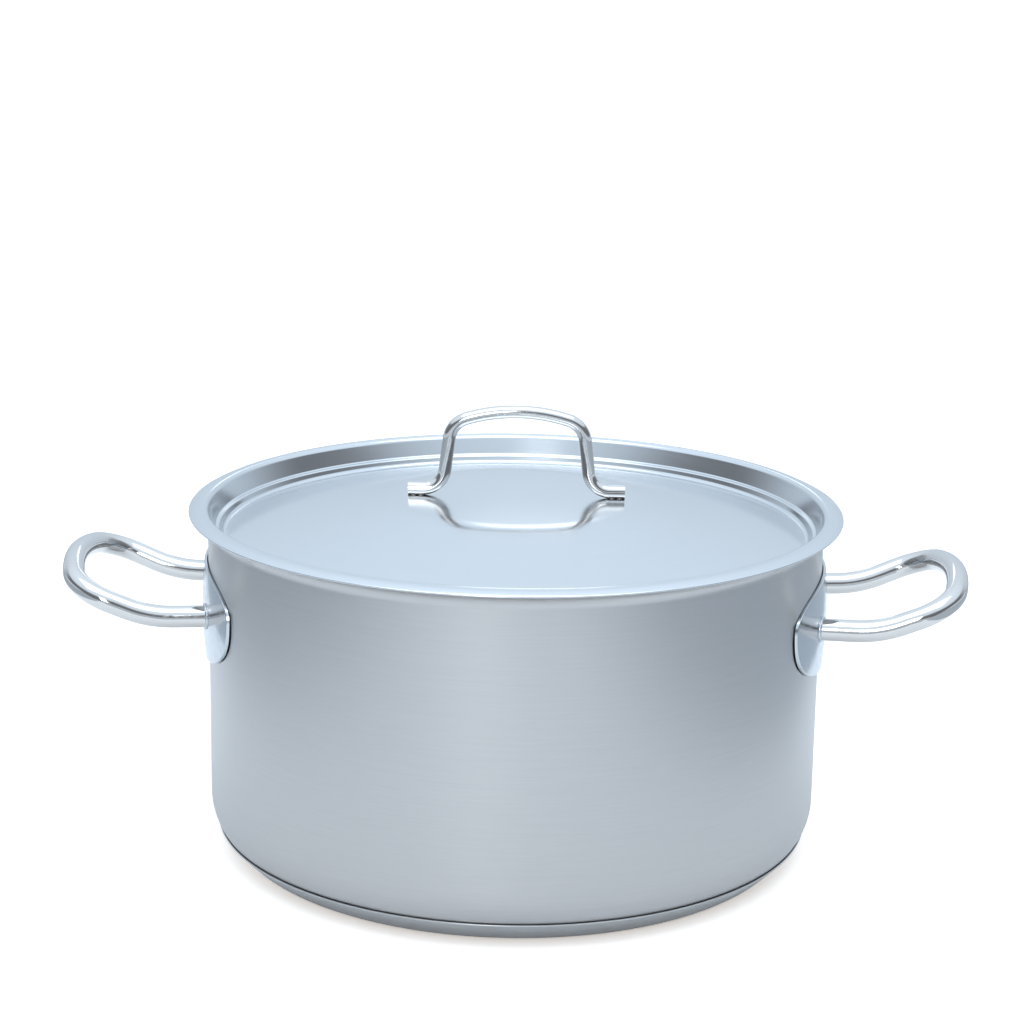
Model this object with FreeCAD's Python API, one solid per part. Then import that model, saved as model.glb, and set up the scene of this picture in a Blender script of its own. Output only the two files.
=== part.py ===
import FreeCAD
import Part
import math
import os
from FreeCAD import Vector

# A low stock pot with two loop handles and a loose pressed lid.
# Millimetres, +Z up. The pot stands on Z = 0 with its axis on Z.
# +X runs through the right-hand handle.

# ---------------------------------------------------------------- pot shell
pot_outer_radius = 140.0
pot_rim_height = 157.9
shell_thickness = 1.0
rim_reach = 6.5
rim_lean = math.radians(10.0)
rim_bend = 7.0
bevel_height = 9.2
bevel_angle = math.radians(34.8)
corner_radius = 24.3
floor_edge_radius = 6.5

# ------------------------------------------------------------- bonded base
core_thickness = 7.5
cap_thickness = 0.7
cap_side_angle = math.radians(45.0)
cap_edge_radius = 10.4
cap_seam_gap = 0.15
core_seam_depth = 2.0

# --------------------------------------------------------------------- lid
lid_thickness = 0.8
lid_seat_gap = 0.3
lid_overhang = 2.2
lid_side_clearance = 1.6
lip_width = 3.5
lip_slope = math.radians(25.0)
lip_bend = 8.0
flange_slope = math.radians(5.0)
flange_bend = 3.0
step_lean = math.radians(21.0)
upper_step_depth = 9.5
ledge_width = 1.8
ledge_drop = 0.4
ledge_bend = 1.0
lower_step_depth = 3.8
valley_bend = 2.5
plateau_radius = 56.0
plateau_rise = 16.1
plateau_bend = 60.0

# -------------------------------------------------------------- lid handle
lid_rod_diameter = 6.0
lid_handle_height = 42.6
lid_foot_reach = 49.4
lid_foot_bend = 9.6
lid_leg_half_spacing = 33.8
lid_leg_lean = math.radians(7.1)
lid_shoulder_drop = 5.8
lid_shoulder_bend = 11.0
lid_arch_slope = math.radians(16.0)
lid_arch_radius = 78.0
foot_lift = 0.05
foot_weld_diameter = 3.0
foot_weld_insets = (2.4, 5.8)

# ------------------------------------------------------------ side handles
tube_diameter = 10.0
tube_wall = 1.5
leg_half_spacing = 37.2
leg_drop = 44.6
bend_reach = 22.8
bend_half_spacing = 39.8
bend_radius = 55.0
grip_corner_reach = 54.9
grip_corner_half_spacing = 42.4
grip_corner_rise = 13.1
grip_corner_radius = 20.0
grip_middle_reach = 64.1
grip_middle_rise = 20.3
grip_middle_radius = 94.0

# ----------------------------------------------------------- handle plates
plate_thickness = 1.2
plate_standoff = 3.0
plate_seat_gap = 0.6
plate_half_length = 71.0
plate_wide_line_rise = 5.2
plate_height_above = 16.3
plate_height_below = 28.5
plate_squareness = 2.6
plate_outline_points = 40
plate_edge_round = 0.5
plate_trim = 4.0
plate_weld_diameter = 6.0
plate_weld_end_inset = 14.0
plate_weld_middle_offset = 22.5

# --------------------------------------------------------------- leg welds
bead_height = 0.9
bead_width = 0.9
bead_round = 0.6

AXIS_START = Vector(0, 0, 0)
AXIS_UP = Vector(0, 0, 1)
ACROSS_HANDLE = Vector(0, 1, 0)
EPSILON = 1e-6


# ------------------------------------------------------------ shared tools
def rounded_path(points, bends):
    """Edges of straight runs through points, each inner corner rounded by its bend radius."""
    edges = []
    here = points[0]
    for before, corner, after, bend in zip(points, points[1:], points[2:], bends):
        coming = (corner - before).normalize()
        going = (after - corner).normalize()
        turn = coming.getAngle(going)
        inward = (going - coming).normalize()
        setback = bend * math.tan(turn / 2)
        arc_start = corner - coming * setback
        arc_end = corner + going * setback
        arc_middle = corner + inward * (bend / math.cos(turn / 2) - bend)
        if (arc_start - here).Length > EPSILON:
            edges.append(Part.LineSegment(here, arc_start).toShape())
        edges.append(Part.Arc(arc_start, arc_middle, arc_end).toShape())
        here = arc_end
    if (points[-1] - here).Length > EPSILON:
        edges.append(Part.LineSegment(here, points[-1]).toShape())
    return edges


def parallel_path(points, bends, distance):
    """The same path moved sideways in the XZ plane; its bends grow or shrink to stay parallel."""
    runs = [(b - a).normalize() for a, b in zip(points, points[1:])]
    sides = [Vector(-run.z, 0, run.x) for run in runs]
    moved = [points[0] + sides[0] * distance]
    moved_bends = []
    for corner, run, side, next_run, next_side, bend in zip(
            points[1:], runs, sides, runs[1:], sides[1:], bends):
        share = distance / (1 + side.dot(next_side))
        moved.append(corner + (side + next_side) * share)
        turns_to_side = run.x * next_run.z - run.z * next_run.x > 0
        moved_bends.append(bend - distance if turns_to_side else bend + distance)
    moved.append(points[-1] + sides[-1] * distance)
    return moved, moved_bends


def spin(edges, angle=360.0):
    """A solid of revolution about Z from the edges of a closed outline in the XZ plane."""
    face = Part.Face(Part.Wire(Part.__sortEdges__(edges)))
    return face.revolve(AXIS_START, AXIS_UP, angle)


def half_turn(edges):
    """As spin, but only the half on the +X side."""
    half = spin(edges, 180.0)
    half.rotate(AXIS_START, AXIS_UP, -90)
    return half


def spun_sheet(points, bends, thickness):
    """Sheet metal spun about Z: one face follows the points, the other lies thickness beside it."""
    other, other_bends = parallel_path(points, bends, thickness)
    edges = rounded_path(points, bends) + rounded_path(other, other_bends)
    edges.append(Part.LineSegment(points[0], other[0]).toShape())
    edges.append(Part.LineSegment(points[-1], other[-1]).toShape())
    return spin(edges)


def spun_block(points, bends):
    """A full body of revolution under a path that is closed through the axis."""
    edges = rounded_path(points, bends)
    top_centre = Vector(0, 0, points[0].z)
    bottom_centre = Vector(0, 0, points[-1].z)
    if points[0].x > EPSILON:
        edges.append(Part.LineSegment(points[0], top_centre).toShape())
    if points[-1].x > EPSILON:
        edges.append(Part.LineSegment(points[-1], bottom_centre).toShape())
    edges.append(Part.LineSegment(top_centre, bottom_centre).toShape())
    return spin(edges)


def swept_round(edges, radius):
    """A round bar along a path of tangent edges."""
    path = Part.Wire(edges)
    start = edges[0].Vertexes[0].Point
    direction = edges[0].tangentAt(edges[0].FirstParameter)
    section = Part.Wire(Part.Circle(start, direction, radius).toShape())
    return path.makePipeShell([section], True, True)


def both_sides(shape):
    """The right-hand shape and its copy turned half a turn about Z for the left."""
    left = shape.copy()
    left.rotate(AXIS_START, AXIS_UP, 180)
    return {"right": shape, "left": left}


def save(name, shape):
    solids = shape.Solids
    volume = sum(solid.Volume for solid in solids)
    print(f"{name}: {len(solids)} solid(s), {volume / 1000:.2f} cm3, valid {shape.isValid()}")
    shape.exportStep(os.path.join("parts", name + ".step"))


# --------------------------------------------------------------- pot shell
floor_height = cap_thickness + core_thickness
bevel_top_height = floor_height + bevel_height


def shell_outer_line():
    """Outer face of the shell from the rim's edge down to the middle of the floor."""
    rim_tip_radius = pot_outer_radius + rim_reach
    rim_tip_height = pot_rim_height - shell_thickness * math.cos(rim_lean)
    rim_corner_height = rim_tip_height - rim_reach * math.tan(rim_lean)
    floor_corner_radius = pot_outer_radius - bevel_height * math.tan(bevel_angle)
    points = [
        Vector(rim_tip_radius, 0, rim_tip_height),
        Vector(pot_outer_radius, 0, rim_corner_height),
        Vector(pot_outer_radius, 0, bevel_top_height),
        Vector(floor_corner_radius, 0, floor_height),
        Vector(0, 0, floor_height),
    ]
    return points, [rim_bend, corner_radius, floor_edge_radius]


def pot_shell():
    points, bends = shell_outer_line()
    return spun_sheet(points, bends, -shell_thickness)


# ------------------------------------------------------------- bonded base
def floor_arc_centre():
    """Centre of the arc that joins the bevel to the floor, seen from the side."""
    points, _ = shell_outer_line()
    corner = points[3]
    setback = floor_edge_radius * math.tan((math.pi / 2 - bevel_angle) / 2)
    return Vector(corner.x - setback, 0, floor_height + floor_edge_radius)


def seam_height():
    """Height where the arc of the floor's edge ends and the bevel begins."""
    return floor_arc_centre().z - floor_edge_radius * math.sin(bevel_angle)


def cap_outer_line():
    """Outer face of the cap from its upper lip down to the middle of the underside."""
    centre = floor_arc_centre()
    side_normal = Vector(math.sin(cap_side_angle), 0, -math.cos(cap_side_angle))
    stand = floor_edge_radius + cap_seam_gap + cap_thickness
    on_side = centre + side_normal * stand
    foot_radius = on_side.x - on_side.z / math.tan(cap_side_angle)
    lip_height = seam_height()
    lip_radius = foot_radius + lip_height / math.tan(cap_side_angle)
    points = [Vector(lip_radius, 0, lip_height), Vector(foot_radius, 0, 0), Vector(0, 0, 0)]
    return points, [cap_edge_radius]


def base_cap():
    points, bends = cap_outer_line()
    return spun_sheet(points, bends, -cap_thickness)


def base_core_disc():
    """Aluminium that fills the room between the cap and the pot's floor."""
    points, bends = cap_outer_line()
    inner, inner_bends = parallel_path(points, bends, -cap_thickness)
    filling = spun_block(inner, inner_bends)
    shell_points, shell_bends = shell_outer_line()
    top = seam_height() - core_seam_depth
    above_seam = Part.makeCylinder(2 * pot_outer_radius, pot_rim_height, Vector(0, 0, top), AXIS_UP)
    return filling.cut(spun_block(shell_points, shell_bends)).cut(above_seam)


# --------------------------------------------------------------------- lid
def lid_upper_line():
    """Upper face of the lid from the lip's edge in to the middle of the plateau."""
    seat_radius = pot_outer_radius + rim_reach - shell_thickness * math.sin(rim_lean)
    seat_height = pot_rim_height + lid_seat_gap + lid_thickness / math.cos(lip_slope)
    edge_radius = pot_outer_radius + rim_reach + lid_overhang
    edge_height = seat_height - (edge_radius - seat_radius) * math.tan(lip_slope)
    lip_top_radius = edge_radius - lip_width
    lip_top_height = edge_height + lip_width * math.tan(lip_slope)
    ledge_outer = pot_outer_radius - shell_thickness - lid_side_clearance - lid_thickness
    step_top_radius = ledge_outer + upper_step_depth * math.tan(step_lean)
    step_top_height = lip_top_height + (lip_top_radius - step_top_radius) * math.tan(flange_slope)
    ledge_height = step_top_height - upper_step_depth
    ledge_inner = ledge_outer - ledge_width
    valley_radius = ledge_inner - lower_step_depth * math.tan(step_lean)
    valley_height = ledge_height - ledge_drop - lower_step_depth
    plateau_height = valley_height + plateau_rise
    points = [
        Vector(edge_radius, 0, edge_height),
        Vector(lip_top_radius, 0, lip_top_height),
        Vector(step_top_radius, 0, step_top_height),
        Vector(ledge_outer, 0, ledge_height),
        Vector(ledge_inner, 0, ledge_height - ledge_drop),
        Vector(valley_radius, 0, valley_height),
        Vector(plateau_radius, 0, plateau_height),
        Vector(0, 0, plateau_height),
    ]
    return points, [lip_bend, flange_bend, ledge_bend, ledge_bend, valley_bend, plateau_bend]


def lid_shell():
    points, bends = lid_upper_line()
    return spun_sheet(points, bends, lid_thickness)


def plateau_top():
    return lid_upper_line()[0][-1].z


# -------------------------------------------------------------- lid handle
def lid_handle_line():
    """Centre line of the rod, from one foot over the bridge to the other foot."""
    foot_height = plateau_top() + foot_lift + lid_rod_diameter / 2
    crown_height = plateau_top() + lid_handle_height - lid_rod_diameter / 2
    shoulder_height = crown_height - lid_shoulder_drop
    shoulder_reach = lid_leg_half_spacing - (shoulder_height - foot_height) * math.tan(lid_leg_lean)
    arch_peak = crown_height + lid_arch_radius * (1 / math.cos(lid_arch_slope) - 1)
    half = [
        Vector(lid_foot_reach, 0, foot_height),
        Vector(lid_leg_half_spacing, 0, foot_height),
        Vector(shoulder_reach, 0, shoulder_height),
    ]
    mirrored = [Vector(-p.x, 0, p.z) for p in reversed(half)]
    return half + [Vector(0, 0, arch_peak)] + mirrored


def lid_handle():
    bends = [lid_foot_bend, lid_shoulder_bend, lid_arch_radius, lid_shoulder_bend, lid_foot_bend]
    return swept_round(rounded_path(lid_handle_line(), bends), lid_rod_diameter / 2)


def lid_handle_welds(rod):
    """Two weld spots under each foot, from the lid's face up to the rod's underside."""
    spots = []
    for inset in foot_weld_insets:
        for side in (-1, 1):
            base = Vector(side * (lid_foot_reach - inset), 0, plateau_top())
            pin = Part.makeCylinder(foot_weld_diameter / 2, lid_rod_diameter / 2, base, AXIS_UP)
            spots.append(pin.cut(rod))
    return Part.makeCompound(spots)


# ----------------------------------------------------------- handle plates
leg_height = pot_rim_height - leg_drop
plate_wide_line = leg_height + plate_wide_line_rise
plate_top = plate_wide_line + plate_height_above
plate_bottom = plate_wide_line - plate_height_below
plate_middle = (plate_top + plate_bottom) / 2

plate_inner_edge = pot_outer_radius + plate_seat_gap
plate_outer_crown = pot_outer_radius + plate_standoff
plate_inner_crown = plate_outer_crown - plate_thickness
plate_end_angle = plate_half_length / plate_outer_crown

# The plate is domed both ways, so its whole rim lies near the wall. Seen from above it follows a circle
# through the crown and both ends, whose centre lies out from the pot's axis.
plate_end_reach = plate_inner_edge * math.cos(plate_end_angle)
plate_end_side = plate_inner_edge * math.sin(plate_end_angle)
plate_axis_shift = (plate_inner_crown ** 2 - plate_end_reach ** 2 - plate_end_side ** 2) / (
    2 * (plate_inner_crown - plate_end_reach))
PLATE_AXIS = Vector(plate_axis_shift, 0, 0)

# Seen from the side it follows a flat arc through the crown and the top and bottom of the rim.
barrel_rise = plate_inner_crown - plate_inner_edge
barrel_half_height = (plate_top - plate_bottom) / 2
barrel_radius = (barrel_half_height ** 2 + barrel_rise ** 2) / (2 * barrel_rise)
barrel_spread = math.asin((barrel_half_height + plate_trim) / barrel_radius)


def barrel_arc(outside):
    """Upright arc parallel to the back of the plate, the given distance outside it, from the plate's axis."""
    radius = barrel_radius + outside
    centre = Vector(plate_inner_crown - plate_axis_shift - barrel_radius, 0, plate_middle)
    low, middle, high = [
        centre + Vector(radius * math.cos(angle), 0, radius * math.sin(angle))
        for angle in (-barrel_spread, 0, barrel_spread)]
    return low, high, Part.Arc(low, middle, high).toShape()


def barrel_layer(inside, outside):
    """Half ring on the +X side between two such arcs."""
    low_in, high_in, inner = barrel_arc(inside)
    low_out, high_out, outer = barrel_arc(outside)
    edges = [inner, outer]
    edges.append(Part.LineSegment(low_in, low_out).toShape())
    edges.append(Part.LineSegment(high_in, high_out).toShape())
    return half_turn(edges).translated(PLATE_AXIS)


def barrel_block(outside):
    """Everything on the +X side that lies inside such an arc."""
    low, high, outer = barrel_arc(outside)
    low_axis = Vector(0, 0, low.z)
    high_axis = Vector(0, 0, high.z)
    edges = [outer]
    for a, b in ((low, low_axis), (low_axis, high_axis), (high_axis, high)):
        edges.append(Part.LineSegment(a, b).toShape())
    return half_turn(edges).translated(PLATE_AXIS)


def plate_outline():
    """Oval outline of the plate, squarer than an ellipse and wider above the legs than below."""
    points = []
    for step in range(plate_outline_points):
        angle = 2 * math.pi * step / plate_outline_points
        across = math.cos(angle)
        up = math.sin(angle)
        swell = (abs(across) ** plate_squareness + abs(up) ** plate_squareness) ** (-1 / plate_squareness)
        along_wall = plate_half_length * swell * across
        half_height = plate_height_above if up > 0 else plate_height_below
        height = plate_wide_line + half_height * swell * up
        half_chord = plate_outer_crown * math.sin(along_wall / plate_outer_crown)
        points.append(Vector(0, half_chord, height))
    curve = Part.BSplineCurve()
    curve.interpolate(Points=points, PeriodicFlag=True)
    return Part.Face(Part.Wire(curve.toShape()))


def handle_plate():
    blank = plate_outline().extrude(Vector(2 * pot_outer_radius, 0, 0))
    plate = barrel_layer(0, plate_thickness).common(blank).Solids[0]
    outer_arc_centre = plate_inner_crown - plate_axis_shift - barrel_radius
    rim_edges = []
    for edge in plate.Edges:
        point = edge.valueAt((edge.FirstParameter + edge.LastParameter) / 2)
        from_axis = math.hypot(point.x - plate_axis_shift, point.y)
        outward = math.hypot(from_axis - outer_arc_centre, point.z - plate_middle)
        if abs(outward - barrel_radius - plate_thickness) < plate_thickness / 10:
            rim_edges.append(edge)
    return plate.makeFillet(plate_edge_round, rim_edges)


def plate_welds():
    """Round weld spots that fill the room between the wall and the back of the plate."""
    wall = Part.makeCylinder(pot_outer_radius, pot_rim_height)
    room = barrel_block(0).cut(wall)
    end_offset = plate_half_length - plate_weld_end_inset
    spots = []
    for offset in (-end_offset, -plate_weld_middle_offset, plate_weld_middle_offset, end_offset):
        angle = offset / plate_outer_crown
        outward = Vector(math.cos(angle), math.sin(angle), 0)
        start = outward * (pot_outer_radius / 2) + Vector(0, 0, plate_middle)
        pin = Part.makeCylinder(plate_weld_diameter / 2, pot_outer_radius, start, outward)
        spots.append(pin.common(room))
    return Part.makeCompound(spots)


# ------------------------------------------------------------ side handles
leg_run_in = tube_diameter + plate_standoff


def handle_line():
    """Centre line of the tube: a leg, the upward bend, the grip's corner, the grip's middle, and back."""
    foot = Vector(pot_outer_radius, leg_half_spacing, leg_height)
    knee = Vector(pot_outer_radius + bend_reach, bend_half_spacing, leg_height)
    half = [
        foot - (knee - foot).normalize() * leg_run_in,
        knee,
        Vector(pot_outer_radius + grip_corner_reach, grip_corner_half_spacing,
               leg_height + grip_corner_rise),
    ]
    middle = Vector(pot_outer_radius + grip_middle_reach, 0, leg_height + grip_middle_rise)
    mirrored = [Vector(p.x, -p.y, p.z) for p in reversed(half)]
    return half + [middle] + mirrored


def handle_bar(radius):
    bends = [bend_radius, grip_corner_radius, grip_middle_radius, grip_corner_radius, bend_radius]
    return swept_round(rounded_path(handle_line(), bends), radius)


def handle_tube():
    """The tube's ends are cut to lie on the domed outer face of the plate."""
    tube = handle_bar(tube_diameter / 2).cut(handle_bar(tube_diameter / 2 - tube_wall))
    return tube.cut(barrel_block(plate_thickness))


def tube_welds():
    """A rounded weld bead round one leg, seated on the plate, and its mirror image round the other."""
    start, knee = handle_line()[:2]
    along = (knee - start).normalize()
    length = (knee - start).Length
    room = Part.makeCylinder(tube_diameter / 2 + bead_width, length, start, along)
    leg = Part.makeCylinder(tube_diameter / 2, length, start, along)
    layer = barrel_layer(plate_thickness, plate_thickness + bead_height)
    bead = layer.common(room).cut(leg).Solids[0]
    crest = max(bead.Edges, key=lambda edge: edge.Length * edge.CenterOfMass.x)
    rounded = bead.makeFillet(bead_round, [crest])
    return Part.makeCompound([rounded, rounded.mirror(AXIS_START, ACROSS_HANDLE)])


# -------------------------------------------------------------------- build
os.makedirs("parts", exist_ok=True)

save("pot_shell", pot_shell())
save("base_cap", base_cap())
save("base_core_disc", base_core_disc())
save("lid_shell", lid_shell())
rod = lid_handle()
save("lid_handle", rod)
save("lid_handle_welds", lid_handle_welds(rod))

for side, plate in both_sides(handle_plate()).items():
    save(f"handle_plate_{side}", plate)
for side, spots in both_sides(plate_welds()).items():
    save(f"plate_welds_{side}", spots)
for side, tube in both_sides(handle_tube()).items():
    save(f"handle_tube_{side}", tube)
for side, beads in both_sides(tube_welds()).items():
    save(f"tube_welds_{side}", beads)
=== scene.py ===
# %% [markdown]
# # A low stock pot with a pressed lid, in stainless steel
#
# The real thing is spun, pressed and bent from a few sheets and tubes of stainless steel. Its shape is
# already exact in the engineering model, so this notebook spends its effort on what the eye reads:
# which way each surface was brushed or polished, how sharp its reflections are, and what it reflects.
# Metal has almost no colour of its own. It shows the room, so the room comes first.

# %% Load the fixed engineering model
import bpy
import bmesh
import math
from mathutils import Matrix, Vector


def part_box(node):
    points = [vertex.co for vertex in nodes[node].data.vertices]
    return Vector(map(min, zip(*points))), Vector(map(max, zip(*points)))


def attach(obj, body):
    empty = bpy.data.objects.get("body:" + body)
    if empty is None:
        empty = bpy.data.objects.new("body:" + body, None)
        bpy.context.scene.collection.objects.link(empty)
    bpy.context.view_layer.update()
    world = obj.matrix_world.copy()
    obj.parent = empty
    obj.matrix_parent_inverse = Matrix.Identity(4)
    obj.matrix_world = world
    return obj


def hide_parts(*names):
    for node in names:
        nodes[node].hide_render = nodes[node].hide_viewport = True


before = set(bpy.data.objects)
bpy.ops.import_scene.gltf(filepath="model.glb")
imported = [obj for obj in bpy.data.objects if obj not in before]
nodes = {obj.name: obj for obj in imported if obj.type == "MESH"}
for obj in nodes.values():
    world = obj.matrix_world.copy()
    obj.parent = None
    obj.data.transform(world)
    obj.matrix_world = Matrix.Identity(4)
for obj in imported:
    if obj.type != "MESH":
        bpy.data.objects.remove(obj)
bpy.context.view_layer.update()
print("nodes:", ", ".join(sorted(nodes)))

# %% [markdown]
# ## The camera
#
# A catalogue view of a pot is taken with a short telephoto lens from a little over a metre, slightly
# above the rim. A long lens keeps the two handles the same size and the sides of the wall upright.
# The camera could be aimed with a constraint. Stacking plain moves is clearer, because each one is a
# thing that a person with a tripod does: walk round, step back, look down, turn a hair to the left, tip
# up a little, and level it badly.

# %% Place the camera
MM = 0.001
SENSOR_WIDTH_MM = 36.0
LENS_MM = 87.54
camera_distance = 1.1562
aim_height = 0.090
look_down = math.radians(17.48)
tip_up = math.radians(3.12)
turn_left = math.radians(0.094)
roll = math.radians(0.952)
walk_round = math.radians(0.92)

stand = Vector((0, -camera_distance * math.cos(look_down),
                aim_height + camera_distance * math.sin(look_down)))
camera_place = (
    Matrix.Rotation(walk_round, 4, "Z")
    @ Matrix.Translation(stand)
    @ Matrix.Rotation(math.radians(90) - look_down, 4, "X")
    @ Matrix.Rotation(turn_left, 4, "Y")
    @ Matrix.Rotation(tip_up, 4, "X")
    @ Matrix.Rotation(roll, 4, "Z")
)
lens = bpy.data.cameras.new("product_lens")
lens.sensor_width = SENSOR_WIDTH_MM
lens.lens = LENS_MM
camera = bpy.data.objects.new("product_camera", lens)
camera.matrix_world = camera_place
bpy.context.scene.collection.objects.link(camera)
bpy.context.scene.camera = camera
bpy.context.scene.view_settings.view_transform = "Standard"
print("camera stands at", [round(v, 3) for v in camera.matrix_world.translation])

# %% [markdown]
# ## Two small helpers for materials
#
# Colours are written as the hex values a designer would read off a swatch. Light is added up in linear
# values, so one function turns them. Every material is a small tree of nodes. One function adds a node,
# sets its fields and plugs in its links, which keeps each material down to a readable list.


# %% Colour and node helpers
def linear(hex_colour):
    """sRGB hex such as "#c8d0d8" as linear red, green, blue and alpha."""
    channels = [int(hex_colour[i:i + 2], 16) / 255 for i in (1, 3, 5)]
    return [c / 12.92 if c <= 0.04045 else ((c + 0.055) / 1.055) ** 2.4 for c in channels] + [1.0]


def add_node(tree, kind, settings=None, links=None):
    """A node with its fields or sockets set, and its inputs linked to other nodes' outputs."""
    node = tree.nodes.new(kind)
    for name, value in (settings or {}).items():
        if isinstance(name, str) and hasattr(node, name):
            setattr(node, name, value)
        else:
            node.inputs[name].default_value = value
    for name, source in (links or {}).items():
        tree.links.new(source, node.inputs[name])
    return node


print("mid grey in linear light:", round(linear("#808080")[0], 3))

# %% [markdown]
# ## The room
#
# The pot stands in a white tent that is open towards the camera. What is bright in the steel is tent or
# floor, and the dark lines along the tubes are the dim room beyond the opening. The tent could be built
# from real sheets. Painting it on the world costs nothing and has no seams. First the tree needs two
# readings of each direction: how high it points, and how far it turns towards the front.

# %% Read each direction's height and its turn to the front
world = bpy.data.worlds.new("white_tent")
bpy.context.scene.world = world
world.use_nodes = True
tree = world.node_tree
tree.nodes.clear()
direction = add_node(tree, "ShaderNodeTexCoord").outputs["Generated"]
height = add_node(tree, "ShaderNodeSeparateXYZ", links={0: direction}).outputs["Z"]
level = add_node(tree, "ShaderNodeVectorMath", {"operation": "MULTIPLY", 1: (1, 1, 0)}, {0: direction})
level = add_node(tree, "ShaderNodeVectorMath", {"operation": "NORMALIZE"}, {0: level.outputs["Vector"]})
facing = add_node(tree, "ShaderNodeVectorMath", {"operation": "DOT_PRODUCT", 1: (0.0, -1.0, 0.0)},
                  {0: level.outputs["Vector"]}).outputs["Value"]
print("the world's tree has", len(tree.nodes), "nodes so far")

# %% [markdown]
# ### The opening of the tent
#
# The world is a cool white that grows brighter towards the ceiling. One dim band crosses it: it starts a
# little above the horizon, ends well below the ceiling, and fades out towards the back. Three smooth
# steps draw it. Each one runs from 0 to 1 between the two ends of its fade.

# %% Paint the tent and its opening
TENT_WHITE = "#e0f0ff"
ROOM_BEYOND = "#7e8288"
LOW_STRENGTH = 0.84
CEILING_STRENGTH = 1.45
BAND_FLOOR = (1, 6)
BAND_CEILING = (24, 31)
BAND_SIDE = (155, 95)

steps = []
for reading, turn, fade in ((height, math.sin, BAND_FLOOR), (height, math.sin, BAND_CEILING),
                            (facing, math.cos, BAND_SIDE)):
    low, high = [turn(math.radians(degrees)) for degrees in fade]
    steps.append(add_node(
        tree, "ShaderNodeMapRange",
        {"interpolation_type": "SMOOTHSTEP", "From Min": low, "From Max": high},
        {"Value": reading}).outputs[0])
above_floor, above_band, in_front = steps
band = add_node(tree, "ShaderNodeMath", {"operation": "SUBTRACT"}, {0: above_floor, 1: above_band})
dim = add_node(tree, "ShaderNodeMath", {"operation": "MULTIPLY"}, {0: band.outputs[0], 1: in_front})
blend = add_node(tree, "ShaderNodeMix", {"data_type": "RGBA", 6: linear(TENT_WHITE),
                                         7: linear(ROOM_BEYOND)}, {0: dim.outputs[0]})
climb = add_node(tree, "ShaderNodeMapRange", {"To Min": LOW_STRENGTH, "To Max": CEILING_STRENGTH},
                 {"Value": height})
glow = add_node(tree, "ShaderNodeBackground",
                links={"Color": blend.outputs[2], "Strength": climb.outputs[0]})
add_node(tree, "ShaderNodeOutputWorld", links={"Surface": glow.outputs["Background"]})
print("dim band from", BAND_FLOOR[0], "to", BAND_CEILING[1], "degrees above the horizon")

# %% [markdown]
# ## Lamps
#
# Three soft boxes shape the metal. One hangs over the pot and draws the white line along the top of the
# tubes and the front lip of the lid. One stands near the camera and puts the broad upright sheen on the
# wall. A small one behind the pot catches the bend round the lid's flat middle. Area lamps are used
# because their size sets how wide a reflection is, as with real boxes.

# %% Hang the soft boxes
LAMP_WHITE = "#f4f9ff"
POT_MIDDLE = Vector((0, 0, 0.1))


def soft_box(name, place, width, height, watts):
    """A rectangular lamp at a place in metres that points at the middle of the pot."""
    lamp = bpy.data.lights.new(name, "AREA")
    lamp.shape = "RECTANGLE"
    lamp.size = width
    lamp.size_y = height
    lamp.energy = watts
    lamp.color = linear(LAMP_WHITE)[:3]
    holder = bpy.data.objects.new(name, lamp)
    holder.location = place
    holder.rotation_euler = (POT_MIDDLE - Vector(place)).to_track_quat("-Z", "Y").to_euler()
    bpy.context.scene.collection.objects.link(holder)


soft_box("overhead_box", (0, -0.35, 1.9), width=2.0, height=1.4, watts=13)
soft_box("side_box", (-0.3, -1.9, 0.75), width=0.5, height=0.8, watts=5.4)
soft_box("back_box", (0, 2.2, 1.1), width=0.25, height=0.3, watts=0.28)

# %% [markdown]
# ## The floor
#
# The pot stands on a broad white table, wide enough to reach past the edges of the view. The table is
# wanted overexposed to pure white, but steel that reflects pure white loses its edge against it. So
# there are two sheets: the camera sees one with a little light of its own, and reflections see a plain
# one just under it.

# %% Lay the two sheets
TABLE_CORNERS = ((-30, -30), (30, 30))
TABLE_GLOW = 0.42
GLOW_COLOUR = "#fff4e8"
SHEET_GAP = 0.5 * MM


def flat_sheet(name, low, high, height, shade, glow):
    """A matte rectangle from the low to the high corner in metres, with some light of its own."""
    mesh = bpy.data.meshes.new(name)
    corners = [(low[0], low[1], height), (high[0], low[1], height),
               (high[0], high[1], height), (low[0], high[1], height)]
    mesh.from_pydata(corners, [], [(0, 1, 2, 3)])
    sheet = bpy.data.objects.new(name, mesh)
    bpy.context.scene.collection.objects.link(sheet)
    paper = bpy.data.materials.new(name)
    paper.use_nodes = True
    skin = paper.node_tree.nodes["Principled BSDF"]
    skin.inputs["Base Color"].default_value = linear(shade)
    skin.inputs["Roughness"].default_value = 0.9
    skin.inputs["Emission Color"].default_value = linear(GLOW_COLOUR)
    skin.inputs["Emission Strength"].default_value = glow
    mesh.materials.append(paper)
    return sheet


seen_table = flat_sheet("seen_table", *TABLE_CORNERS, 0, "#f8f5f2", TABLE_GLOW)
seen_table.visible_glossy = False
seen_table.visible_diffuse = False
seen_table.visible_shadow = False
reflected_table = flat_sheet("reflected_table", *TABLE_CORNERS, -SHEET_GAP, "#f4f3f2", 0)
reflected_table.visible_camera = False
print("table laid,", TABLE_CORNERS[1][0] - TABLE_CORNERS[0][0], "m across")

# %% [markdown]
# ## Grey cloths
#
# A wall that reflects nothing but white looks flat. In a studio, grey cloth lies on the table just out
# of view, so that the steel grows darker towards its top and towards its sides. The cloths are hidden
# from the camera and from soft light, and only reflections see them. They are not part of the pot.

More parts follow.
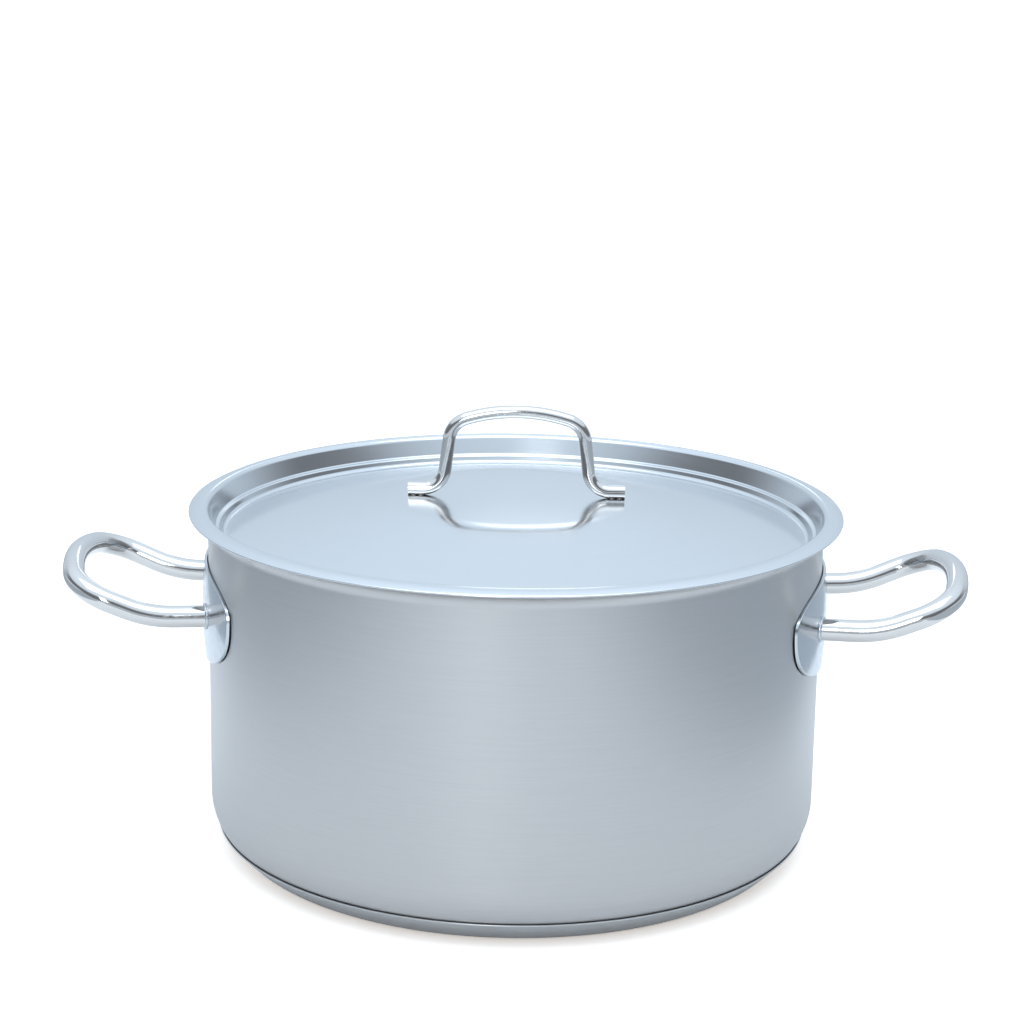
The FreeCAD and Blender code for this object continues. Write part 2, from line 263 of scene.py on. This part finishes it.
# %% Lay the cloths that only reflections see
CLOTH_LIFT = 4 * MM
for name, low, high, shade in (
        ("left_cloth", (-3.0, -1.6), (-0.38, 2.5), "#acafb2"),
        ("right_cloth", (0.3, -1.6), (3.0, 2.5), "#b2b5b8"),
        ("front_cloth", (-0.38, -4.0), (0.3, -0.9), "#a4a6a8")):
    cloth = flat_sheet(name, low, high, CLOTH_LIFT, shade, 0)
    cloth.visible_camera = False
    cloth.visible_diffuse = False
    cloth.visible_shadow = False
print("cloths laid", round(CLOTH_LIFT / MM), "mm above the table")

# %% [markdown]
# ## Brushed and turned steel
#
# A pot is finished while it spins, so every fine line on its wall, rim and lid runs round the axis.
# The lines could be an image. A noise that is squeezed across the lines and stretched along them needs
# no image and no seam: it reads x and y slowly, which follows the circle, and the position along the
# profile quickly. Real satin lines are about 0.05 mm apart, too fine to show, so they are drawn ten
# times coarser and very faint.

# %% Lines that run round the pot's axis
LINE_SPACING = 0.5 * MM
LINE_LENGTH = 30 * MM


def turned_lines(tree, spacing, length):
    """Noise from 0 to 1 whose streaks run round the Z axis, with their spacing and length in metres."""
    place = add_node(tree, "ShaderNodeTexCoord")
    split = add_node(tree, "ShaderNodeSeparateXYZ", links={0: place.outputs["Object"]})
    flat = add_node(tree, "ShaderNodeCombineXYZ", links={"X": split.outputs["X"], "Y": split.outputs["Y"]})
    radius = add_node(tree, "ShaderNodeVectorMath", {"operation": "LENGTH"}, {0: flat.outputs[0]})
    profile = add_node(tree, "ShaderNodeMath", {"operation": "SUBTRACT"},
                       {0: split.outputs["Z"], 1: radius.outputs["Value"]})
    across = add_node(tree, "ShaderNodeMath", {"operation": "MULTIPLY", 1: length / spacing},
                      {0: profile.outputs[0]})
    point = add_node(tree, "ShaderNodeCombineXYZ", links={
        "X": split.outputs["X"], "Y": split.outputs["Y"], "Z": across.outputs[0]})
    return add_node(tree, "ShaderNodeTexNoise", {"Scale": 1 / length, "Detail": 3.0, "Roughness": 0.6},
                    {"Vector": point.outputs[0]}).outputs["Fac"]


print("lines", round(LINE_SPACING / MM, 2), "mm apart and", round(LINE_LENGTH / MM), "mm long")

# %% [markdown]
# ### Three turned finishes
#
# The wall is stainless steel brushed to a satin, the lid is pressed and lightly polished, and the cap
# under the pot is magnetic stainless turned on a lathe. The lines change the tone and the roughness a
# little and leave a shallow relief. The stretched highlight comes from the shader's anisotropy, turned a
# quarter so that the sheen stands upright across the lines.

# %% Steel with lines round the axis
QUARTER_TURN = 0.25
LINE_DEPTH = 0.02 * MM
BASE_LINE_SPACING = 0.8 * MM


def turned_steel(name, light, dark, roughness, spread, stretch, relief, spacing=LINE_SPACING):
    """Steel brushed or turned round the axis: two tones, a roughness with its spread, and fine relief."""
    material = bpy.data.materials.new(name)
    material.use_nodes = True
    tree = material.node_tree
    steel = tree.nodes["Principled BSDF"]
    steel.inputs["Metallic"].default_value = 1.0
    steel.inputs["Anisotropic"].default_value = stretch
    steel.inputs["Anisotropic Rotation"].default_value = QUARTER_TURN
    lines = turned_lines(tree, spacing, LINE_LENGTH)
    tone = add_node(tree, "ShaderNodeMix", {"data_type": "RGBA", 6: linear(dark), 7: linear(light)},
                    {0: lines})
    gloss = add_node(tree, "ShaderNodeMapRange", {
        "To Min": roughness - spread, "To Max": roughness + spread}, {"Value": lines})
    bump = add_node(tree, "ShaderNodeBump", {"Strength": relief, "Distance": LINE_DEPTH}, {"Height": lines})
    around = add_node(tree, "ShaderNodeTangent", {"direction_type": "RADIAL", "axis": "Z"})
    tree.links.new(tone.outputs[2], steel.inputs["Base Color"])
    tree.links.new(gloss.outputs["Result"], steel.inputs["Roughness"])
    tree.links.new(bump.outputs["Normal"], steel.inputs["Normal"])
    tree.links.new(around.outputs["Tangent"], steel.inputs["Tangent"])
    return material


wall_steel = turned_steel("stainless_satin_brushed_wall", "#c7c5c4", "#bbbab9", 0.34, 0.04, 0.55, 0.25)
lid_steel = turned_steel("stainless_satin_pressed_lid", "#d8dadc", "#d0d3d6", 0.16, 0.02, 0.1, 0.1)
base_steel = turned_steel("stainless_magnetic_turned_base", "#d0cfce", "#c2c2c2", 0.3, 0.04, 0.5, 0.4,
                          spacing=BASE_LINE_SPACING)
print("turned finishes:", wall_steel.name, lid_steel.name, base_steel.name)

# %% [markdown]
# ## Polished steel
#
# Tubes, rod and plates are tumbled and buffed to a mirror. The beads at the plates and the lid's handle
# are only brushed over. A perfect mirror looks like plastic chrome, so the buffing is kept: a very
# shallow waviness, 6 mm long on the tubes, makes reflections swim a little, and a fine haze varies the
# roughness.

# %% Buffed finish for tubes, rod, plates and welds
HAZE_ENDS = (0.3, 0.7)
DULLEST = 1.4
SHARPEST = 0.6


def buffed_steel(name, colour, roughness, wave_length, wave_height, haze_size):
    """Buffed metal: one tone, a haze that varies the roughness, and a shallow waviness, in metres."""
    material = bpy.data.materials.new(name)
    material.use_nodes = True
    tree = material.node_tree
    steel = tree.nodes["Principled BSDF"]
    steel.inputs["Metallic"].default_value = 1.0
    steel.inputs["Base Color"].default_value = linear(colour)
    place = add_node(tree, "ShaderNodeTexCoord")
    haze = add_node(tree, "ShaderNodeTexNoise", {"Scale": 1 / haze_size, "Detail": 4.0},
                    {"Vector": place.outputs["Object"]})
    gloss = add_node(tree, "ShaderNodeMapRange", {
        "From Min": HAZE_ENDS[0], "From Max": HAZE_ENDS[1],
        "To Min": roughness * SHARPEST, "To Max": roughness * DULLEST}, {"Value": haze.outputs["Fac"]})
    wave = add_node(tree, "ShaderNodeTexNoise", {"Scale": 1 / wave_length, "Detail": 1.0},
                    {"Vector": place.outputs["Object"]})
    bump = add_node(tree, "ShaderNodeBump", {"Strength": 1.0, "Distance": wave_height},
                    {"Height": wave.outputs["Fac"]})
    tree.links.new(gloss.outputs["Result"], steel.inputs["Roughness"])
    tree.links.new(bump.outputs["Normal"], steel.inputs["Normal"])
    return material


mirror_steel = buffed_steel("stainless_buffed_tube", "#d6d3d0", 0.09, 6 * MM, 0.03 * MM, 2 * MM)
plate_steel = buffed_steel("stainless_buffed_plate", "#c6cace", 0.16, 9 * MM, 0.03 * MM, 3 * MM)
weld_steel = buffed_steel("stainless_weld_dressed", "#a8a4a0", 0.4, 1.2 * MM, 0.05 * MM, 1 * MM)
print("buffed finishes:", mirror_steel.name, plate_steel.name, weld_steel.name)

# %% [markdown]
# ## Pressed aluminium
#
# The heat-spreading disc is a dull aluminium slug, squeezed between the pot's floor and the cap. Only a
# thin line of it can be seen in the seam. It is rough and slightly mottled.

# %% Aluminium for the hidden disc
core_alloy = buffed_steel("aluminium_pressed_disc", "#b4b6b8", 0.5, 4 * MM, 0.05 * MM, 2 * MM)
print("core finish:", core_alloy.name)

# %% [markdown]
# ## Spinning the sheet parts
#
# The pot, its cap and the lid are sheet steel formed round an axis. Their engineering meshes are exact
# enough to measure, but satin steel shows the smallest facet, so these three are spun again more finely.
# The outline is a few corners with a bend radius each, just as a toolmaker draws it.

# %% A line with rounded bends
BEND_STEP = math.radians(4)
FEWEST_STEPS = 3


def bent_line(corners, bends):
    """Points along a line through (radius, height) corners, each inner corner rounded by its bend."""
    points = [corners[0]]
    for before, corner, after, bend in zip(corners, corners[1:], corners[2:], bends):
        coming = (corner - before).normalized()
        going = (after - corner).normalized()
        turn = coming.angle_signed(going)
        steps = max(FEWEST_STEPS, math.ceil(abs(turn) / BEND_STEP))
        start = corner - coming * bend * math.tan(abs(turn) / 2)
        for k in range(steps + 1):
            part = abs(turn) * k / steps
            side = Vector((coming.y, -coming.x)) * math.copysign(1, turn)
            points.append(start + coming * bend * math.sin(part) + side * bend * (1 - math.cos(part)))
    points.append(corners[-1])
    return points


print("bends are drawn every", round(math.degrees(BEND_STEP)), "degrees")

# %% [markdown]
# ### Both faces of a sheet
#
# Bent sheet keeps its thickness, so the second face runs parallel to the first: a bend that is tight on
# one face is wide on the other. The cut edge is rounded over, as it is after grinding.

# %% Two faces and a rounded edge
EDGE_STEPS = 8


def beside(corners, bends, distance):
    """The same corners and bends for a line that runs parallel, to the left of the direction of travel."""
    runs = [(b - a).normalized() for a, b in zip(corners, corners[1:])]
    sides = [Vector((-run.y, run.x)) for run in runs]
    moved = [corners[0] + sides[0] * distance]
    radii = []
    for corner, run, side, next_run, next_side, bend in zip(
            corners[1:], runs, sides, runs[1:], sides[1:], bends):
        moved.append(corner + (side + next_side) * distance / (1 + side.dot(next_side)))
        left_turn = run.x * next_run.y - run.y * next_run.x > 0
        radii.append(bend - distance if left_turn else bend + distance)
    moved.append(corners[-1] + sides[-1] * distance)
    return moved, radii


def sheet_outline(corners, bends, thickness):
    """Outline of sheet metal beside a line that ends on the axis, with its free edge rounded over."""
    other, other_bends = beside(corners, bends, thickness)
    inward = (corners[1] - corners[0]).normalized()
    half = abs(thickness) / 2
    across = (corners[0] - other[0]) / 2
    centre = (corners[0] + other[0]) / 2 + inward * half
    cap = [centre - across * math.cos(angle) - inward * half * math.sin(angle)
           for angle in (math.pi * k / EDGE_STEPS for k in range(1, EDGE_STEPS))]
    near = bent_line([corners[0] + inward * half] + corners[1:], bends)
    far = bent_line([other[0] + inward * half] + other[1:], other_bends)
    return cap + near, far


print("a cut edge is rounded in", EDGE_STEPS, "steps")

# %% [markdown]
# ### Turning the outline
#
# A Screw modifier could turn the outline round the axis. Writing the rings directly keeps each quad where
# it is wanted, closes the shell at its edge and ends each face in one point on the axis. The new piece
# rides on the same body as the part that it stands for.

# %% Turn an outline round the axis
RING_POINTS = 384
ON_AXIS = MM / 100


def spin(name, near, far, body, node):
    """A closed shell of rings from the two faces of a sheet, smooth all over, that stands for a part."""
    bm = bmesh.new()
    turns = [2 * math.pi * k / RING_POINTS for k in range(RING_POINTS)]

    def ring(point):
        if point.x < ON_AXIS:
            return [bm.verts.new((0, 0, point.y))]
        return [bm.verts.new((point.x * math.cos(t), point.x * math.sin(t), point.y)) for t in turns]

    def join(low, high):
        for k in range(RING_POINTS):
            quad = [low[k], low[(k + 1) % RING_POINTS]]
            quad += [high[0]] if len(high) == 1 else [high[(k + 1) % RING_POINTS], high[k]]
            bm.faces.new(quad)

    near_rings = [ring(point) for point in near]
    far_rings = [ring(point) for point in far]
    for rings in (near_rings, far_rings):
        for low, high in zip(rings, rings[1:]):
            join(low, high)
    join(far_rings[0], near_rings[0])
    bmesh.ops.recalc_face_normals(bm, faces=bm.faces)
    mesh = bpy.data.meshes.new(name)
    bm.to_mesh(mesh)
    bm.free()
    mesh.shade_smooth()
    piece = bpy.data.objects.new(name, mesh)
    bpy.context.scene.collection.objects.link(piece)
    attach(piece, body)
    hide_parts(node)
    reach = max(vertex.co.x for vertex in mesh.vertices)
    top = max(vertex.co.z for vertex in mesh.vertices)
    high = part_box(node)[1]
    print(name, len(mesh.vertices), "points")
    print("  radius", round(reach / MM, 2), "mm, engineering", round(high.x / MM, 2), "mm")
    print("  top", round(top / MM, 2), "mm, engineering", round(high.z / MM, 2), "mm")
    return piece


def corner_list(*pairs):
    """(radius, height) pairs in millimetres as points in metres."""
    return [Vector((radius * MM, height * MM)) for radius, height in pairs]


print("each ring has", RING_POINTS, "points")

# %% [markdown]
# ### The pot
#
# One deep-drawn shell, 1 mm thick: a flared rim that sheds drips, an upright wall, a large soft corner and
# a bevel down to the bonded base.

# %% Spin the pot
rim_reach = 6.5
lip_overhang = 2.2
wall_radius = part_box("lid_shell")[1].x / MM - (rim_reach + lip_overhang)
rim_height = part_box("pot_shell")[1].z / MM
floor_height = 8.2
pot_sheet = 1.0
rim_lean = math.radians(10)
rim_bend = 7.0
bevel_height = 9.2
bevel_angle = math.radians(34.8)
wall_foot_bend = 24.3
floor_edge_bend = 6.5

rim_tip_height = rim_height - pot_sheet * math.cos(rim_lean)
floor_corner = wall_radius - bevel_height * math.tan(bevel_angle)
pot_corners = corner_list(
    (wall_radius + rim_reach, rim_tip_height),
    (wall_radius, rim_tip_height - rim_reach * math.tan(rim_lean)),
    (wall_radius, floor_height + bevel_height),
    (floor_corner, floor_height),
    (0, floor_height),
)
pot_bends = [rim_bend * MM, wall_foot_bend * MM, floor_edge_bend * MM]
pot = spin("pot_wall", *sheet_outline(pot_corners, pot_bends, -pot_sheet * MM), "pot", "pot_shell")

# %% [markdown]
# ### The cap under the pot
#
# A thin magnetic cap wraps the aluminium disc. Its lip stops just below the bevel and leaves the fine dark
# seam that runs round such a pot.

# %% Spin the cap
cap_sheet = 0.7
seam_gap = 0.15
cap_side = math.radians(45)
cap_bend = 10.4

edge_centre = Vector((floor_corner - floor_edge_bend * math.tan((math.pi / 2 - bevel_angle) / 2),
                      floor_height + floor_edge_bend))
seam_height = edge_centre.y - floor_edge_bend * math.sin(bevel_angle)
stand_off = floor_edge_bend + seam_gap + cap_sheet
on_side = edge_centre + Vector((math.sin(cap_side), -math.cos(cap_side))) * stand_off
foot_radius = on_side.x - on_side.y / math.tan(cap_side)
cap_corners = corner_list(
    (foot_radius + seam_height / math.tan(cap_side), seam_height),
    (foot_radius, 0),
    (0, 0),
)
cap = spin("base_cover", *sheet_outline(cap_corners, [cap_bend * MM], -cap_sheet * MM), "pot", "base_cap")

# %% [markdown]
# ### The lid
#
# Pressed from 0.8 mm sheet: a lip that sheds steam over the rim, a flange, two steps that drop inside the
# wall and centre the lid, a shallow cone, and a flat middle for the handle. The lip is worked out first,
# since the lid rests on the rim by it.

# %% Place the lid's lip over the rim
lid_sheet = 0.8
seat_gap = 0.3
lip_width = 3.5
lip_slope = math.radians(25)

seat_radius = wall_radius + rim_reach - pot_sheet * math.sin(rim_lean)
seat_height = rim_height + seat_gap + lid_sheet / math.cos(lip_slope)
edge_radius = wall_radius + rim_reach + lip_overhang
edge_height = seat_height - (edge_radius - seat_radius) * math.tan(lip_slope)
lip_top = (edge_radius - lip_width, edge_height + lip_width * math.tan(lip_slope))
print("lid's edge", round(edge_height, 2), "mm up, top of the rim", round(rim_height, 2), "mm up")

# %% [markdown]
# ### The steps and the cone
#
# From the flange the sheet drops by an upper step to a narrow ledge, and by a lower step to the valley.
# Both steps lean, so that the lid finds its own middle. The cone then rises from the valley to the flat
# middle with one very wide bend.

# %% Spin the lid
side_clearance = 1.6
flange_slope = math.radians(5)
step_lean = math.radians(21)
upper_step = 9.5
ledge_width = 1.8
ledge_drop = 0.4
lower_step = 3.8
middle_radius = 56.0
middle_rise = 16.1
lip_bend = 8.0
flange_bend = 3.0
ledge_bend = 1.0
valley_bend = 2.5
middle_bend = 60.0

ledge_outer = wall_radius - pot_sheet - side_clearance - lid_sheet
step_radius = ledge_outer + upper_step * math.tan(step_lean)
step_height = lip_top[1] + (lip_top[0] - step_radius) * math.tan(flange_slope)
ledge_height = step_height - upper_step
ledge_inner = ledge_outer - ledge_width
valley_height = ledge_height - ledge_drop - lower_step
lid_corners = corner_list(
    (edge_radius, edge_height),
    lip_top,
    (step_radius, step_height),
    (ledge_outer, ledge_height),
    (ledge_inner, ledge_height - ledge_drop),
    (ledge_inner - lower_step * math.tan(step_lean), valley_height),
    (middle_radius, valley_height + middle_rise),
    (0, valley_height + middle_rise),
)
lid_bends = [bend * MM for bend in (
    lip_bend, flange_bend, ledge_bend, ledge_bend, valley_bend, middle_bend)]
lid = spin("lid_sheet", *sheet_outline(lid_corners, lid_bends, lid_sheet * MM), "lid", "lid_shell")

# %% [markdown]
# ## Dress the model
#
# The bars, plates and welds of the engineering model keep their exact meshes and only get their finish.
# The three spun pieces take theirs from a short list of their own.

# %% Give every part its finish
FINISH = {
    "pot_shell": wall_steel,
    "base_cap": base_steel,
    "base_core_disc": core_alloy,
    "lid_shell": lid_steel,
    "lid_handle": mirror_steel,
    "lid_handle_welds": weld_steel,
}
for side in ("left", "right"):
    FINISH["handle_plate_" + side] = plate_steel
    FINISH["plate_welds_" + side] = weld_steel
    FINISH["handle_tube_" + side] = mirror_steel
    FINISH["tube_welds_" + side] = plate_steel
for name, part in nodes.items():
    part.data.materials.clear()
    part.data.materials.append(FINISH[name])
for piece, steel, slot in ((pot, wall_steel, "satin_stainless"), (cap, base_steel, "base_stainless"),
                           (lid, lid_steel, "satin_lid_stainless")):
    piece.data.materials.append(steel)
print("dressed", len(nodes), "parts and 3 spun pieces")
